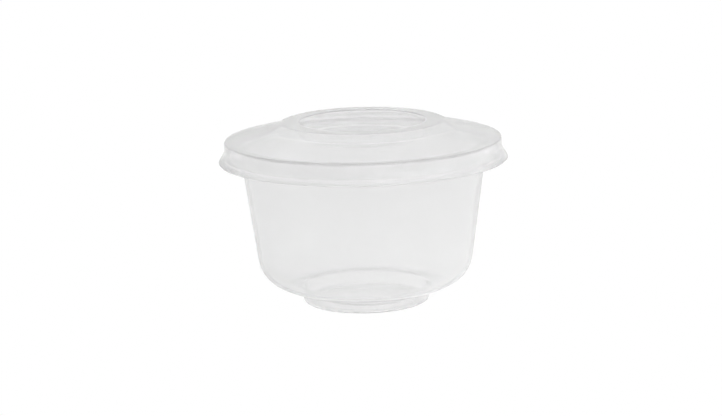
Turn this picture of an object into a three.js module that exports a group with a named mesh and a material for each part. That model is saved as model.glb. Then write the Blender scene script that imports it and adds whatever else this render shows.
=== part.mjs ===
// A round portion cup on a foot ring, with its press-on lid.
// Both are thin shells of milky plastic, turned about the Z axis.
// Millimetres, +Z up. The origin is the centre of the ring the cup stands on.

import * as THREE from 'three';

// ---- driving dimensions: the cup, measured on its outside face ----
const CUP_WALL = 0.6;
const CUP_HEIGHT = 57.6;
const FOOT_RADIUS = 22.3;
const FOOT_HEIGHT = 5.3;
const FOOT_ROUNDING = 1.6;
const PANEL_RADIUS = 16.2;
const PANEL_RISE = 1.2;
const PANEL_ROUNDING = 2;
const NECK_ROUNDING = 0.8;
const BOWL_BREAK_RADIUS = 27.7;
const BOWL_SLOPE = 26;
const BOWL_SWEEP = 10;
const BOWL_ROUNDING = 11.2;
const WALL_TAPER = 8.05;
const WALL_RADIUS = 38.8;
const WALL_RADIUS_HEIGHT = 22;
const CUP_FLANGE_RADIUS = 47.8;
const CUP_SKIRT_DEPTH = 4.8;
const MOUTH_ROUNDING = 0.5;
const SKIRT_ROUNDING = 0.3;

// ---- driving dimensions: the lid, measured on its outside face ----
const LID_WALL = 0.5;
const LIP_RADIUS = 50.8;
const LIP_HEIGHT = 51.2;
const BAND_RADIUS = 48.7;
const BAND_BOTTOM = 54.8;
const BAND_ROUNDING = 0.4;
const RIM_HEIGHT = 58.3;
const RIM_ROUNDING = 0.6;
const CONE_TOP_RADIUS = 33;
const CONE_TOP_HEIGHT = 62.3;
const CONE_TOP_ROUNDING = 3;
const RING_OUTER_RADIUS = 28.3;
const RING_OUTER_ROUNDING = 4;
const RING_INNER_RADIUS = 22.1;
const RING_INNER_ROUNDING = 0.6;
const RING_HEIGHT = 64.7;
const WELL_FLOOR_RADIUS = 21.7;
const WELL_FLOOR_HEIGHT = 59;
const WELL_FLOOR_ROUNDING = 0.6;

// ---- how finely the round shapes are cut ----
const SIDES = 48;
const ARC_TOLERANCE = 0.06;

const radians = THREE.MathUtils.degToRad;

// Turns a list of corners [radius, height, rounding] into a line whose corners are true arcs.
function roundedLine(corners) {
  const line = [];
  corners.forEach(([radius, height, rounding], index) => {
    const corner = new THREE.Vector2(radius, height);
    if (!rounding) {
      line.push(corner);
      return;
    }
    const before = new THREE.Vector2(...corners[index - 1]).sub(corner).normalize();
    const after = new THREE.Vector2(...corners[index + 1]).sub(corner).normalize();
    const turn = Math.PI - Math.acos(before.dot(after));
    const towardsCentre = before.clone().add(after).normalize();
    const centre = corner.clone().addScaledVector(towardsCentre, rounding / Math.cos(turn / 2));
    const start = corner.clone().addScaledVector(before, rounding * Math.tan(turn / 2));
    const side = Math.sign(after.cross(before));
    const longestStep = 2 * Math.acos(1 - ARC_TOLERANCE / rounding);
    const steps = Math.ceil(turn / longestStep);
    for (let step = 0; step <= steps; step += 1) {
      line.push(start.clone().rotateAround(centre, side * turn * step / steps));
    }
  });
  return line;
}

// The line moved sideways by a distance, to the left of its direction.
function movedLeft(line, distance) {
  const normals = line.slice(1).map((point, index) => {
    const along = point.clone().sub(line[index]).normalize();
    return new THREE.Vector2(-along.y, along.x);
  });
  return line.map((point, index) => {
    const before = normals[Math.max(index - 1, 0)];
    const after = normals[Math.min(index, normals.length - 1)];
    const mean = before.clone().add(after).normalize();
    return point.clone().addScaledVector(mean, distance / mean.dot(after));
  });
}

// Thickens a face into a wall: the outside face, a rounded free edge, and the inside face back.
function wallProfile(outside, inside, thickness) {
  const last = outside.length - 1;
  const along = outside[last].clone().sub(outside[last - 1]).normalize();
  const edge = outside[last].clone().add(inside[last]).multiplyScalar(0.5);
  edge.addScaledVector(along, thickness / 3);
  return [...outside, edge, ...inside.toReversed()];
}

// Turns a closed profile about the axis and stands it upright.
function turned(name, profile, material) {
  const geometry = new THREE.LatheGeometry(profile, SIDES);
  geometry.rotateX(Math.PI / 2);
  const mesh = new THREE.Mesh(geometry, material);
  mesh.name = name;
  return mesh;
}

// ---- the cup: foot panel, foot ring, bowl, wall, flange and down-turned skirt ----
function cupProfile() {
  const taper = Math.tan(radians(WALL_TAPER));
  const wallRadius = (height) => WALL_RADIUS + (height - WALL_RADIUS_HEIGHT) * taper;
  const rise = Math.tan(radians(BOWL_SLOPE));
  const heelRadius = (wallRadius(FOOT_HEIGHT) - BOWL_BREAK_RADIUS * rise * taper)
    / (1 - rise * taper);
  const heelHeight = FOOT_HEIGHT + (heelRadius - BOWL_BREAK_RADIUS) * rise;
  const flangeUnderside = CUP_HEIGHT - CUP_WALL;
  const skirtInside = CUP_FLANGE_RADIUS - CUP_WALL;
  const outside = roundedLine([
    [0, PANEL_RISE, 0],
    [PANEL_RADIUS - PANEL_RISE, PANEL_RISE, PANEL_ROUNDING],
    [PANEL_RADIUS + PANEL_RISE, 0, PANEL_ROUNDING],
    [FOOT_RADIUS, 0, FOOT_ROUNDING],
    [FOOT_RADIUS, FOOT_HEIGHT, NECK_ROUNDING],
    [BOWL_BREAK_RADIUS, FOOT_HEIGHT, BOWL_SWEEP],
    [heelRadius, heelHeight, BOWL_ROUNDING],
    [wallRadius(flangeUnderside), flangeUnderside, MOUTH_ROUNDING],
    [skirtInside, flangeUnderside, SKIRT_ROUNDING],
    [skirtInside, CUP_HEIGHT - CUP_SKIRT_DEPTH, 0],
  ]);
  return wallProfile(outside, movedLeft(outside, CUP_WALL), CUP_WALL);
}

// ---- the lid: well floor, well wall, ring, flank, cone, rim, band and flared lip ----
function lidProfile() {
  const outside = roundedLine([
    [0, WELL_FLOOR_HEIGHT, 0],
    [WELL_FLOOR_RADIUS, WELL_FLOOR_HEIGHT, WELL_FLOOR_ROUNDING],
    [RING_INNER_RADIUS, RING_HEIGHT, RING_INNER_ROUNDING],
    [RING_OUTER_RADIUS, RING_HEIGHT, RING_OUTER_ROUNDING],
    [CONE_TOP_RADIUS, CONE_TOP_HEIGHT, CONE_TOP_ROUNDING],
    [BAND_RADIUS, RIM_HEIGHT, RIM_ROUNDING],
    [BAND_RADIUS, BAND_BOTTOM, BAND_ROUNDING],
    [LIP_RADIUS, LIP_HEIGHT, 0],
  ]);
  return wallProfile(outside, movedLeft(outside, -LID_WALL), LID_WALL).toReversed();
}

const milkyPlastic = { roughness: 0.35, metalness: 0, transparent: true };
const cupMaterial = new THREE.MeshStandardMaterial({ ...milkyPlastic, color: 0xe9ebec, opacity: 0.5 });
const lidMaterial = new THREE.MeshStandardMaterial({ ...milkyPlastic, color: 0xe3e5e6, opacity: 0.6 });

const portionCup = new THREE.Group();
portionCup.add(turned('cup', cupProfile(), cupMaterial));
portionCup.add(turned('lid', lidProfile(), lidMaterial));

export default portionCup;
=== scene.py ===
# %% [markdown]
# # A lidded portion cup in milky plastic
#
# The real thing is a takeaway pot for sauce or dessert: a round cup on a foot ring, and a lid
# that presses over its flange. Both are thin walls of natural polypropylene, a plastic that lets
# light through but clouds what is behind it.
#
# Three things make such a pot look right, and the lesson takes them in turn: the camera, the
# outline of the walls, and how light behaves in a cloudy sheet. The studio comes last, because
# see-through plastic has hardly any colour of its own and shows the room instead.

# %% [markdown]
# ## The frame
#
# The measured construction comes first. It gives the outer sizes of both pieces, so that the
# mesh made here fits inside it exactly.

# %% Load the frame
import math

import bmesh
import bpy
from mathutils import Matrix, Vector


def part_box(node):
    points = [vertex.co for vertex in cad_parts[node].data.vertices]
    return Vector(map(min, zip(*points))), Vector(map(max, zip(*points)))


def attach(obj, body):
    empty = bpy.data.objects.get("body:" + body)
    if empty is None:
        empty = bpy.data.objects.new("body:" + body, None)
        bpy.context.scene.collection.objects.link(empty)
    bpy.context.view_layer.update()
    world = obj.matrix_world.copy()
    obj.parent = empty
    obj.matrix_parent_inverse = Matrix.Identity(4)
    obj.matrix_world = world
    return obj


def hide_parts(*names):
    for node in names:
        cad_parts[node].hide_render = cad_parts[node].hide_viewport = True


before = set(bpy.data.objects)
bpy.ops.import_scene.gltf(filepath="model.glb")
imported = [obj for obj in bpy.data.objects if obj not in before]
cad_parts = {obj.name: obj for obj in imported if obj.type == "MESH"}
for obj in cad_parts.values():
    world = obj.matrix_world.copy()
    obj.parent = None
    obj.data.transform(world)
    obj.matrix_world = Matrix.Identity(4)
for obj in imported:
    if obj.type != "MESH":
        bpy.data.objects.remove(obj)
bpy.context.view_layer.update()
scene = bpy.context.scene
print("nodes in the frame:", sorted(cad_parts))

# %% [markdown]
# ## The camera
#
# A round object hides which way it faces, but not how high the camera stood. The lid's rim shows
# as an ellipse, and its height over its width gives the angle that the camera looked down at.
# The picture also leans a little, so the camera rolls by the same angle.
#
# A long lens from almost a metre away keeps the near and far rim the same size, as a product
# photographer does. The camera looks just past the cup's axis, because the cup isn't quite in
# the middle of the picture.

# %% Camera
MM = 0.001
PICTURE_WIDTH, PICTURE_HEIGHT = 722, 416
SENSOR_WIDTH = 36.0
LOOKS_DOWN = math.radians(11.7)
LEANS = math.radians(1.42)
CAMERA_DISTANCE = 950 * MM
PIXELS_PER_MM = 2.83
AXIS_POINT = Vector((0, 0, 33 * MM))
AXIS_POINT_X, AXIS_POINT_Y = 364.5, 208.4


def photo_camera():
    """A camera that looks along +Y and down, with the axis point at its place in the picture."""
    away = Vector((0, -math.cos(LOOKS_DOWN), math.sin(LOOKS_DOWN)))
    turn = (-away).to_track_quat("-Z", "Y") @ Matrix.Rotation(-LEANS, 3, "Z").to_quaternion()
    right, up = turn @ Vector((1, 0, 0)), turn @ Vector((0, 1, 0))
    aside = (AXIS_POINT_X - PICTURE_WIDTH / 2) / PIXELS_PER_MM * MM
    below = (AXIS_POINT_Y - PICTURE_HEIGHT / 2) / PIXELS_PER_MM * MM
    data = bpy.data.cameras.new("photo_camera")
    data.sensor_width = SENSOR_WIDTH
    pixels_per_metre = PIXELS_PER_MM / MM
    data.lens = pixels_per_metre * CAMERA_DISTANCE * SENSOR_WIDTH / PICTURE_WIDTH
    camera = bpy.data.objects.new("photo_camera", data)
    camera.location = AXIS_POINT + away * CAMERA_DISTANCE - right * aside + up * below
    camera.rotation_mode = "QUATERNION"
    camera.rotation_quaternion = turn
    scene.collection.objects.link(camera)
    return camera


scene.camera = photo_camera()
print("lens in mm:", round(scene.camera.data.lens, 1))

# %% [markdown]
# ## Turned walls
#
# The cup and the lid are pressed from sheet over round tools, so every cut through the axis
# shows the same line. One could pull edges of a cylinder about by hand, but a line that is
# written as corners with a rounding each is easier to read and to change, and gives the true
# arcs that catch the light. The line is then given its wall thickness and spun about the axis.

# %% Lines with round corners
ARC_STEP = math.radians(6)


def rounded_line(corners):
    """Turns corners (radius, height, rounding), in mm, into a line whose corners are arcs."""
    points = [Vector(corner[:2]) for corner in corners]
    line = []
    for index, (_, _, rounding) in enumerate(corners):
        corner = points[index]
        if not rounding:
            line.append(corner)
            continue
        before = (points[index - 1] - corner).normalized()
        after = (points[index + 1] - corner).normalized()
        turn = math.pi - before.angle(after)
        centre = corner + (before + after).normalized() * rounding / math.cos(turn / 2)
        spoke = corner + before * rounding * math.tan(turn / 2) - centre
        side = 1 if after.x * before.y > after.y * before.x else -1
        steps = max(2, math.ceil(turn / ARC_STEP))
        for step in range(steps + 1):
            line.append(centre + Matrix.Rotation(side * turn * step / steps, 2) @ spoke)
    return line


def moved_left(line, distance):
    """The line moved sideways, to the left of its direction."""
    along = [(b - a).normalized() for a, b in zip(line, line[1:])]
    normals = [Vector((-way.y, way.x)) for way in along]
    moved = []
    for index, point in enumerate(line):
        before = normals[max(index - 1, 0)]
        after = normals[min(index, len(normals) - 1)]
        mean = (before + after).normalized()
        moved.append(point + mean * distance / mean.dot(after))
    return moved


EDGE_REACH = 1 / 3


def free_edge(outside_end, inside_end, along, steps=6):
    """The round that closes a wall at its free edge. It reaches a third of the wall further."""
    middle, half = (outside_end + inside_end) / 2, (outside_end - inside_end) / 2
    reach = along * half.length * 2 * EDGE_REACH
    angles = [math.pi * step / steps for step in range(1, steps)]
    return [middle + half * math.cos(angle) + reach * math.sin(angle) for angle in angles]


def wall(outside, thickness):
    """A closed section: the outside, the round free edge, and the inside on the way back."""
    inside = moved_left(outside, thickness)
    along = (outside[-1] - outside[-2]).normalized()
    return outside + free_edge(outside[-1], inside[-1], along) + inside[::-1]


print("steps in a quarter turn:", round(math.pi / 2 / ARC_STEP))

# %% Spin a section
ROUND_STEPS = 192
SAME_POINT = 0.001 * MM


def spun(name, section):
    """A smooth mesh piece made by spinning a section, in mm, about the upright axis."""
    mesh = bpy.data.meshes.new(name)
    shape = bmesh.new()
    ring = [shape.verts.new((point.x * MM, 0, point.y * MM)) for point in section]
    edges = [shape.edges.new(pair) for pair in zip(ring, ring[1:])]
    bmesh.ops.spin(
        shape, geom=ring + edges, cent=(0, 0, 0), axis=(0, 0, 1),
        angle=2 * math.pi, steps=ROUND_STEPS, use_merge=True,
    )
    bmesh.ops.remove_doubles(shape, verts=shape.verts, dist=SAME_POINT)
    bmesh.ops.recalc_face_normals(shape, faces=shape.faces)
    for face in shape.faces:
        face.smooth = True
    shape.to_mesh(mesh)
    shape.free()
    piece = bpy.data.objects.new(name, mesh)
    scene.collection.objects.link(piece)
    print(name, "has", len(mesh.polygons), "faces")
    return piece


print("steps round the axis:", ROUND_STEPS)

# %% [markdown]
# ## The cup
#
# From the middle outwards: a raised panel under the floor, the ring it stands on, the neck, a
# shallow bowl that sweeps up into the wall, and a flange that folds down into a skirt. The
# dimensions are those of the frame, measured on the outside face.

# %% Cup
CUP_WALL = 0.6
CUP_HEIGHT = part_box("cup")[1].z / MM
FOOT_RADIUS, FOOT_HEIGHT, FOOT_ROUNDING = 22.3, 5.3, 1.6
PANEL_RADIUS, PANEL_RISE, PANEL_ROUNDING = 16.2, 1.2, 2.0
NECK_ROUNDING = 0.8
BOWL_BREAK_RADIUS, BOWL_SWEEP, BOWL_ROUNDING = 27.7, 10.0, 11.2
BOWL_SLOPE = math.radians(26)
WALL_TAPER, WALL_RADIUS, WALL_RADIUS_HEIGHT = math.radians(8.05), 38.8, 22.0
CUP_FLANGE_RADIUS, CUP_SKIRT_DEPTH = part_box("cup")[1].x / MM, 4.8
MOUTH_ROUNDING, SKIRT_ROUNDING = 0.5, 0.3


def cup_section():
    taper, rise = math.tan(WALL_TAPER), math.tan(BOWL_SLOPE)

    def wall_radius(height):
        return WALL_RADIUS + (height - WALL_RADIUS_HEIGHT) * taper

    heel_radius = wall_radius(FOOT_HEIGHT) - BOWL_BREAK_RADIUS * rise * taper
    heel_radius /= 1 - rise * taper
    heel_height = FOOT_HEIGHT + (heel_radius - BOWL_BREAK_RADIUS) * rise
    flange_underside = CUP_HEIGHT - CUP_WALL
    skirt_inside = CUP_FLANGE_RADIUS - CUP_WALL
    outside = rounded_line([
        (0, PANEL_RISE, 0),
        (PANEL_RADIUS - PANEL_RISE, PANEL_RISE, PANEL_ROUNDING),
        (PANEL_RADIUS + PANEL_RISE, 0, PANEL_ROUNDING),
        (FOOT_RADIUS, 0, FOOT_ROUNDING),
        (FOOT_RADIUS, FOOT_HEIGHT, NECK_ROUNDING),
        (BOWL_BREAK_RADIUS, FOOT_HEIGHT, BOWL_SWEEP),
        (heel_radius, heel_height, BOWL_ROUNDING),
        (wall_radius(flange_underside), flange_underside, MOUTH_ROUNDING),
        (skirt_inside, flange_underside, SKIRT_ROUNDING),
        (skirt_inside, CUP_HEIGHT - CUP_SKIRT_DEPTH, 0),
    ])
    return wall(outside, CUP_WALL)


cup = spun("cup_shell", cup_section())

# %% [markdown]
# ## The lid
#
# The lid dips in the middle into a well, where the foot of the next cup in a stack stands. A
# raised ring runs round the well, then a shallow cone falls to the rim, the band grips the
# flange, and the lip flares out so that a thumb can lift it.

# %% Lid
LID_WALL = 0.5
LIP_INSET = 0.02
LIP_RADIUS, LIP_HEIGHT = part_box("lid")[1].x / MM - LIP_INSET, 51.2
BAND_RADIUS, BAND_BOTTOM, BAND_ROUNDING = 48.7, 54.8, 0.4
RIM_HEIGHT, RIM_ROUNDING = 58.3, 0.5
CONE_TOP_RADIUS, CONE_TOP_HEIGHT, CONE_TOP_ROUNDING = 33.0, 62.3, 3.0
RING_OUTER_RADIUS, RING_OUTER_ROUNDING = 28.3, 4.0
RING_INNER_RADIUS, RING_INNER_ROUNDING = 22.1, 0.6
RING_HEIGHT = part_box("lid")[1].z / MM
WELL_FLOOR_RADIUS, WELL_FLOOR_HEIGHT, WELL_FLOOR_ROUNDING = 21.7, 59.0, 0.6


def lid_section():
    outside = rounded_line([
        (0, WELL_FLOOR_HEIGHT, 0),
        (WELL_FLOOR_RADIUS, WELL_FLOOR_HEIGHT, WELL_FLOOR_ROUNDING),
        (RING_INNER_RADIUS, RING_HEIGHT, RING_INNER_ROUNDING),
        (RING_OUTER_RADIUS, RING_HEIGHT, RING_OUTER_ROUNDING),
        (CONE_TOP_RADIUS, CONE_TOP_HEIGHT, CONE_TOP_ROUNDING),
        (BAND_RADIUS, RIM_HEIGHT, RIM_ROUNDING),
        (BAND_RADIUS, BAND_BOTTOM, BAND_ROUNDING),
        (LIP_RADIUS, LIP_HEIGHT, 0),
    ])
    return wall(outside, -LID_WALL)


lid = spun("lid_shell", lid_section())

# %% [markdown]
# ## What moulding and handling leave
#
# Even a plain pot isn't perfectly even. The plastic ran outwards from the middle while it was
# hot, so it is a little cloudier in some streaks than in others. The mould leaves a faint ripple
# in the skin, and the foot and the ring on the lid get scuffed where pots are stacked.
#
# Each effect could be painted for each piece. Here it is a node group with named inputs, so that
# the cup and the lid share it with their own numbers. The groups only read the place in space.

# %% Sums and groups
def feed(tree, socket, value):
    """Gives an input its value, which is another node's output or a plain number."""
    if isinstance(value, (int, float)):
        socket.default_value = value
    else:
        tree.links.new(value, socket)


def sum_node(tree, operation, first, second=0.0):
    """A Math node's output."""
    node = tree.nodes.new("ShaderNodeMath")
    node.operation = operation
    feed(tree, node.inputs[0], first)
    feed(tree, node.inputs[1], second)
    return node.outputs[0]


def new_group(name, floats, outputs):
    """An empty node group that takes a place and some numbers."""
    group = bpy.data.node_groups.new(name, "ShaderNodeTree")
    group.interface.new_socket("Place", in_out="INPUT", socket_type="NodeSocketVector")
    for title in floats:
        group.interface.new_socket(title, in_out="INPUT", socket_type="NodeSocketFloat")
    for title, kind in outputs.items():
        group.interface.new_socket(title, in_out="OUTPUT", socket_type=kind)
    given, result = group.nodes.new("NodeGroupInput"), group.nodes.new("NodeGroupOutput")
    return group, given.outputs, result.inputs


def noise_in(tree, place, scale, detail):
    """Soft random hills between 0 and 1."""
    noise = tree.nodes.new("ShaderNodeTexNoise")
    noise.inputs["Detail"].default_value = detail
    tree.links.new(place, noise.inputs["Vector"])
    feed(tree, noise.inputs["Scale"], scale)
    return noise.outputs[0]


def spread(tree, value, low, high, from_low=0.35, from_high=0.65):
    """Maps a range of values, such as the middle of a noise, onto the one from low to high."""
    node = tree.nodes.new("ShaderNodeMapRange")
    node.inputs["From Min"].default_value = from_low
    node.inputs["From Max"].default_value = from_high
    feed(tree, node.inputs["To Min"], low)
    feed(tree, node.inputs["To Max"], high)
    feed(tree, node.inputs["Value"], value)
    return node.outputs["Result"]


# %% Streaks of cloudiness
NEAREST_AXIS = 0.5 * MM
CHANGE_ALONG = 12.0


def flow_streaks_group():
    """A grey that changes round the pot and hardly at all along the way that the plastic ran."""
    group, given, result = new_group(
        "flow_streaks", ("Streaks", "Dim", "Bright"), {"Colour": "NodeSocketColor"}
    )
    parts = group.nodes.new("ShaderNodeSeparateXYZ")
    group.links.new(given["Place"], parts.inputs[0])
    x, y, z = parts.outputs
    squares = [sum_node(group, "MULTIPLY", value, value) for value in (x, y)]
    radius = sum_node(group, "SQRT", sum_node(group, "ADD", *squares))
    radius = sum_node(group, "MAXIMUM", radius, NEAREST_AXIS)
    along = sum_node(group, "MULTIPLY", sum_node(group, "ADD", radius, z), CHANGE_ALONG)
    around = group.nodes.new("ShaderNodeCombineXYZ")
    for socket, value in zip(around.inputs, (x, y)):
        group.links.new(sum_node(group, "DIVIDE", value, radius), socket)
    group.links.new(along, around.inputs[2])
    hills = noise_in(group, around.outputs[0], given["Streaks"], detail=2.0)
    grey = group.nodes.new("ShaderNodeCombineColor")
    for socket in grey.inputs:
        group.links.new(spread(group, hills, given["Dim"], given["Bright"]), socket)
    group.links.new(grey.outputs[0], result["Colour"])
    return group


flow_streaks = flow_streaks_group()
print("the streaks change round the pot, and by", CHANGE_ALONG, "per metre along the walls")

# %% Ripple in the skin
FINE_SHARE = 0.25


def moulded_skin_group():
    """The height of a long soft ripple with a finer one on top."""
    group, given, result = new_group(
        "moulded_skin", ("Long Scale", "Fine Scale"), {"Height": "NodeSocketFloat"}
    )
    ripple = noise_in(group, given["Place"], given["Long Scale"], detail=1.0)
    fine = noise_in(group, given["Place"], given["Fine Scale"], detail=2.0)
    total = sum_node(group, "ADD", ripple, sum_node(group, "MULTIPLY", fine, FINE_SHARE))
    group.links.new(total, result["Height"])
    return group


moulded_skin = moulded_skin_group()
print("height of the fine ripple over the long one:", FINE_SHARE)

# %% Scuffs
SCUFF_SCALE = 400.0
SCUFF_START, SCUFF_FULL = 0.45, 0.6


def stacking_scuffs_group():
    """Roughness that rises in patches near one height, where pots rub on each other."""
    group, given, result = new_group(
        "stacking_scuffs",
        ("Height", "Reach", "Smooth", "Scuffed"),
        {"Roughness": "NodeSocketFloat"},
    )
    parts = group.nodes.new("ShaderNodeSeparateXYZ")
    group.links.new(given["Place"], parts.inputs[0])
    above = sum_node(group, "SUBTRACT", parts.outputs[2], given["Height"])
    gap = sum_node(group, "ABSOLUTE", above)
    near = sum_node(group, "SUBTRACT", 1.0, sum_node(group, "DIVIDE", gap, given["Reach"]))
    near = sum_node(group, "MAXIMUM", near, 0.0)
    patches = noise_in(group, given["Place"], SCUFF_SCALE, detail=3.0)
    patches = spread(group, patches, 0.0, 1.0, SCUFF_START, SCUFF_FULL)
    scuffed = sum_node(group, "MULTIPLY", patches, near)
    rise = sum_node(group, "SUBTRACT", given["Scuffed"], given["Smooth"])
    total = sum_node(group, "ADD", given["Smooth"], sum_node(group, "MULTIPLY", rise, scuffed))
    group.links.new(total, result["Roughness"])
    return group


stacking_scuffs = stacking_scuffs_group()
print("shared groups:", [group.name for group in (flow_streaks, moulded_skin, stacking_scuffs)])

# %% [markdown]
# ## Milky plastic
#
# A pane of glass only bends and mirrors light. Natural polypropylene also scatters it, so each
# wall is part window and part lampshade: most of the light passes straight on, and the rest is
# spread to both sides of the sheet.
#
# A volume shader could do this, but in a wall of half a millimetre it is slow and grainy. Two
# surface shaders, mixed by a fixed share, give the same look: a clear Principled shader for the
# window, and a matt one with a translucent one for the lampshade. The share stays the same all
# over, because the denoiser draws a line where it passes about a quarter. Hardly any light is
# lost in such plastic, so both colours are close to white.

# %% Plastic
BENDS_LIGHT = 1.49
CLOUD_ROUGHNESS = 0.35
STREAKS = 2.5
RIPPLE_SCALE, GRAIN_SCALE = 90.0, 900.0
RIPPLE_STRENGTH, RIPPLE_DEPTH = 0.2, 0.05 * MM


def group_node(tree, group, place, **values):
    """A group put to use, with a place and plain numbers."""
    node = tree.nodes.new("ShaderNodeGroup")
    node.node_tree = group
    tree.links.new(place, node.inputs["Place"])
    for title, value in values.items():
        node.inputs[title.replace("_", " ")].default_value = value
    return node.outputs[0]


def mixed(tree, share, first, second):
    """A Mix Shader with a fixed share of the second."""
    mix = tree.nodes.new("ShaderNodeMixShader")
    mix.inputs[0].default_value = share
    tree.links.new(first.outputs[0], mix.inputs[1])
    tree.links.new(second.outputs[0], mix.inputs[2])
    return mix


def milky_plastic(name, clear_grey, cloud_grey, cloud, sent_on, scuffs):
    """Part window, part lampshade. A grey is (dim, bright), and cloud the lampshade's share."""
    material = bpy.data.materials.new(name)
    material.use_nodes = True
    tree = material.node_tree
    place = tree.nodes.new("ShaderNodeNewGeometry").outputs["Position"]
    window_colour, cloud_colour = (
        group_node(tree, flow_streaks, place, Streaks=STREAKS, Dim=dim, Bright=bright)
        for dim, bright in (clear_grey, cloud_grey)
    )
    bump = tree.nodes.new("ShaderNodeBump")
    bump.inputs["Strength"].default_value = RIPPLE_STRENGTH
    bump.inputs["Distance"].default_value = RIPPLE_DEPTH
    skin = group_node(tree, moulded_skin, place, Long_Scale=RIPPLE_SCALE, Fine_Scale=GRAIN_SCALE)
    tree.links.new(skin, bump.inputs["Height"])
    window = tree.nodes["Principled BSDF"]
    window.inputs["IOR"].default_value = BENDS_LIGHT
    window.inputs["Transmission Weight"].default_value = 1.0
    tree.links.new(window_colour, window.inputs["Base Color"])
    tree.links.new(group_node(tree, stacking_scuffs, place, **scuffs), window.inputs["Roughness"])
    sent_back = tree.nodes.new("ShaderNodeBsdfPrincipled")
    sent_back.inputs["Roughness"].default_value = CLOUD_ROUGHNESS
    tree.links.new(cloud_colour, sent_back.inputs["Base Color"])
    passed_on = tree.nodes.new("ShaderNodeBsdfTranslucent")
    tree.links.new(cloud_colour, passed_on.inputs["Color"])
    for shader in (window, sent_back, passed_on):
        tree.links.new(bump.outputs[0], shader.inputs["Normal"])
    lampshade = mixed(tree, sent_on, sent_back, passed_on)
    body = mixed(tree, cloud, window, lampshade)
    tree.links.new(body.outputs[0], tree.nodes["Material Output"].inputs["Surface"])
    return material


print("ripple depth in mm:", RIPPLE_DEPTH / MM)

# %% Cup plastic and lid plastic
CUP_SCUFFS = dict(Height=0.0, Reach=3 * MM, Smooth=0.08, Scuffed=0.13)
LID_SCUFFS = dict(Height=RING_HEIGHT * MM, Reach=2 * MM, Smooth=0.08, Scuffed=0.13)
CUP_GREYS = dict(clear_grey=(0.965, 0.975), cloud_grey=(0.95, 0.97))
LID_GREYS = dict(clear_grey=(0.985, 0.995), cloud_grey=(0.975, 0.99))
CUP_CLOUD, LID_CLOUD, SENT_ON = 0.2, 0.2, 0.5
cup.data.materials.append(
    milky_plastic("cup_plastic", cloud=CUP_CLOUD, sent_on=SENT_ON, scuffs=CUP_SCUFFS, **CUP_GREYS)
)
lid.data.materials.append(
    milky_plastic("lid_plastic", cloud=LID_CLOUD, sent_on=SENT_ON, scuffs=LID_SCUFFS, **LID_GREYS)
)
print("lampshade share of the cup and the lid:", CUP_CLOUD, LID_CLOUD)

# %% [markdown]
# ## Studio
#
# A product photographer stands the cup on a lit white table among large soft lights. Clear
# plastic shows the room, so the room gets a brightness for each direction and blends them
# softly: the right is brighter than the left, which gives the light right side and the dark
# left edge. One could place five big lamps, but a lit room has no edges that mirror in the
# walls.
#
# The background of a product picture is cut out to plain white. The camera therefore sees
# white, while the plastic sees the true light of the studio.

# %% Light from all sides
SIDES = {"Left": (0, -1), "Right": (0, 1), "Front": (1, -1), "Back": (1, 1), "Above": (2, 1)}


def side_light_group():
    """Blends a brightness for each direction by the squares of the direction's parts."""
    group, given, result = new_group("side_light", SIDES, {"Colour": "NodeSocketColor"})
    unit = group.nodes.new("ShaderNodeVectorMath")
    unit.operation = "NORMALIZE"
    group.links.new(given["Place"], unit.inputs[0])
    parts = group.nodes.new("ShaderNodeSeparateXYZ")
    group.links.new(unit.outputs["Vector"], parts.inputs[0])
    total = 0.0
    for side, (axis, sign) in SIDES.items():
        part = sum_node(group, "MULTIPLY", parts.outputs[axis], sign)
        part = sum_node(group, "MAXIMUM", part, 0.0)
        part = sum_node(group, "MULTIPLY", part, part)
        part = sum_node(group, "MULTIPLY", part, given[side])
        total = sum_node(group, "ADD", part, total)
    grey = group.nodes.new("ShaderNodeCombineColor")
    for socket in grey.inputs:
        group.links.new(total, socket)
    group.links.new(grey.outputs[0], result["Colour"])
    return group


side_light = side_light_group()


def colour_mix(tree, share, first, second):
    """The output of a colour mix. The share is a socket, and each colour a socket or a grey."""
    mix = tree.nodes.new("ShaderNodeMix")
    mix.data_type = "RGBA"
    tree.links.new(share, mix.inputs["Factor"])
    for title, colour in (("A", first), ("B", second)):
        if isinstance(colour, float):
            mix.inputs[title].default_value = (colour, colour, colour, 1)
        else:
            tree.links.new(colour, mix.inputs[title])
    return mix.outputs["Result"]


def seen_white(tree, light):
    """The camera sees plain white, and everything else sees the light."""
    to_camera = tree.nodes.new("ShaderNodeLightPath").outputs["Is Camera Ray"]
    return colour_mix(tree, to_camera, light, 1.0)


print("sides of the studio:", list(SIDES))

# %% [markdown]
# ## The table
#
# The table glows instead of being lit, so that the cup throws no shadow on it, as in a cut-out
# picture. The walls show the table close by, and mirror the table further away, so the two have
# their own brightness and run into each other a hand's breadth away. Under the foot, where
# less light gets in, the table is a little darker.

# %% Floor
FLOOR_RADIUS, FLOOR_SIDES = 4.0, 96
NEAR_REACH = 150 * MM
NEAR_LIGHT = dict(Left=0.84, Right=1.02, Front=1.02, Back=0.98)
FAR_LIGHT = dict(Left=0.86, Right=1.04, Front=1.02, Back=0.82)
SHADE_INSIDE, SHADE_OUTSIDE, SHADE = 20 * MM, 26 * MM, 0.92


def near_share(tree, distance):
    """1 in the middle of the table, half at NEAR_REACH, and 0 far away."""
    reaches = sum_node(tree, "DIVIDE", distance, NEAR_REACH)
    squared = sum_node(tree, "MULTIPLY", reaches, reaches)
    return sum_node(tree, "DIVIDE", 1.0, sum_node(tree, "ADD", 1.0, squared))


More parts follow.
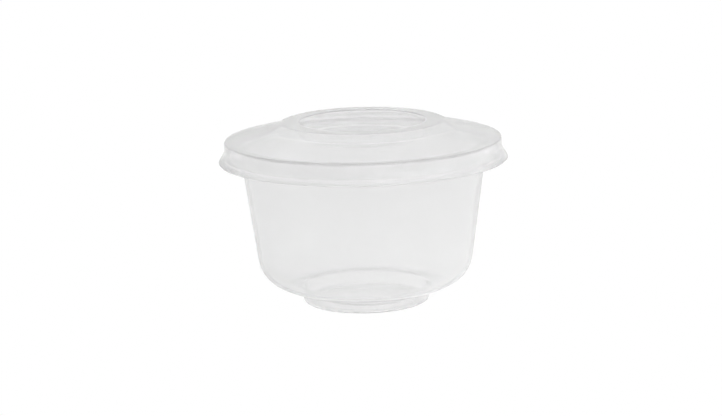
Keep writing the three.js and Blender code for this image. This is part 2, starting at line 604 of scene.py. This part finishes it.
def lit_floor():
    mesh = bpy.data.meshes.new("floor")
    shape = bmesh.new()
    bmesh.ops.create_circle(shape, cap_ends=True, radius=FLOOR_RADIUS, segments=FLOOR_SIDES)
    shape.to_mesh(mesh)
    shape.free()
    floor = bpy.data.objects.new("floor", mesh)
    scene.collection.objects.link(floor)
    material = bpy.data.materials.new("floor")
    material.use_nodes = True
    tree = material.node_tree
    place = tree.nodes.new("ShaderNodeNewGeometry").outputs["Position"]
    near, far = (
        group_node(tree, side_light, place, **brightness)
        for brightness in (NEAR_LIGHT, FAR_LIGHT)
    )
    length = tree.nodes.new("ShaderNodeVectorMath")
    length.operation = "LENGTH"
    tree.links.new(place, length.inputs[0])
    distance = length.outputs["Value"]
    light = colour_mix(tree, near_share(tree, distance), far, near)
    under = spread(tree, distance, 1.0, 0.0, SHADE_INSIDE, SHADE_OUTSIDE)
    light = colour_mix(tree, under, light, SHADE)
    paint = tree.nodes["Principled BSDF"]
    paint.inputs["Base Color"].default_value = (0, 0, 0, 1)
    paint.inputs["Roughness"].default_value = 1.0
    paint.inputs["Specular IOR Level"].default_value = 0.0
    paint.inputs["Emission Strength"].default_value = 1.0
    tree.links.new(seen_white(tree, light), paint.inputs["Emission Color"])
    mesh.materials.append(material)
    return floor


floor = lit_floor()
print("floor radius in m:", FLOOR_RADIUS)

# %% Room
ROOM_LIGHT = dict(Left=1.03, Right=1.18, Front=1.03, Back=0.74, Above=0.84)


def studio_room():
    room = bpy.data.worlds.new("studio_room")
    room.use_nodes = True
    tree = room.node_tree
    way = tree.nodes.new("ShaderNodeTexCoord").outputs["Generated"]
    light = seen_white(tree, group_node(tree, side_light, way, **ROOM_LIGHT))
    tree.links.new(light, tree.nodes["Background"].inputs["Color"])
    return room


scene.world = studio_room()
print("room light by side:", ROOM_LIGHT)

# %% [markdown]
# ## Lamps and light paths
#
# One soft lamp from the front right adds to the highlights on the foot and the band. It is a
# metre wide and less than a metre off, so it is large as seen from the cup. A small lamp of the
# same power would leave bright patches with hard edges on the lid.
#
# Light that enters a clear wall crosses many faces before it leaves again, so the paths may be
# long. The renderer's filter for glossy light is off, because it swallows light that went
# through frosted walls.

# %% Lamp and light paths
LAMP_PLACE, LAMP_SIZE, LAMP_POWER = Vector((0.55, -0.55, 0.45)), 1.0, 1.0
LIGHT_BOUNCES = 32


def soft_lamp(name, place, size, power):
    """A square soft lamp that faces the cup."""
    data = bpy.data.lights.new(name, "AREA")
    data.shape, data.size, data.energy = "SQUARE", size, power
    lamp = bpy.data.objects.new(name, data)
    lamp.location = place
    lamp.rotation_mode = "QUATERNION"
    lamp.rotation_quaternion = (AXIS_POINT - place).to_track_quat("-Z", "Y")
    scene.collection.objects.link(lamp)
    return lamp


soft_lamp("soft_lamp", LAMP_PLACE, LAMP_SIZE, LAMP_POWER)
scene.view_settings.view_transform = "Standard"
scene.cycles.blur_glossy = 0.0
for kind in ("max", "diffuse", "glossy", "transmission", "transparent_max"):
    setattr(scene.cycles, kind + "_bounces", LIGHT_BOUNCES)
print("lamp power in W:", LAMP_POWER)

# %% [markdown]
# ## Hand over
#
# Each mesh stands in for one node of the frame, whose own mesh is hidden. The lid has no hinge,
# so both pieces belong to the one fixed body.

# %% Hand over
for piece, node, slot in ((cup, "cup", "cup_plastic"), (lid, "lid", "lid_plastic")):
    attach(piece, "root")
    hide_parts(node)
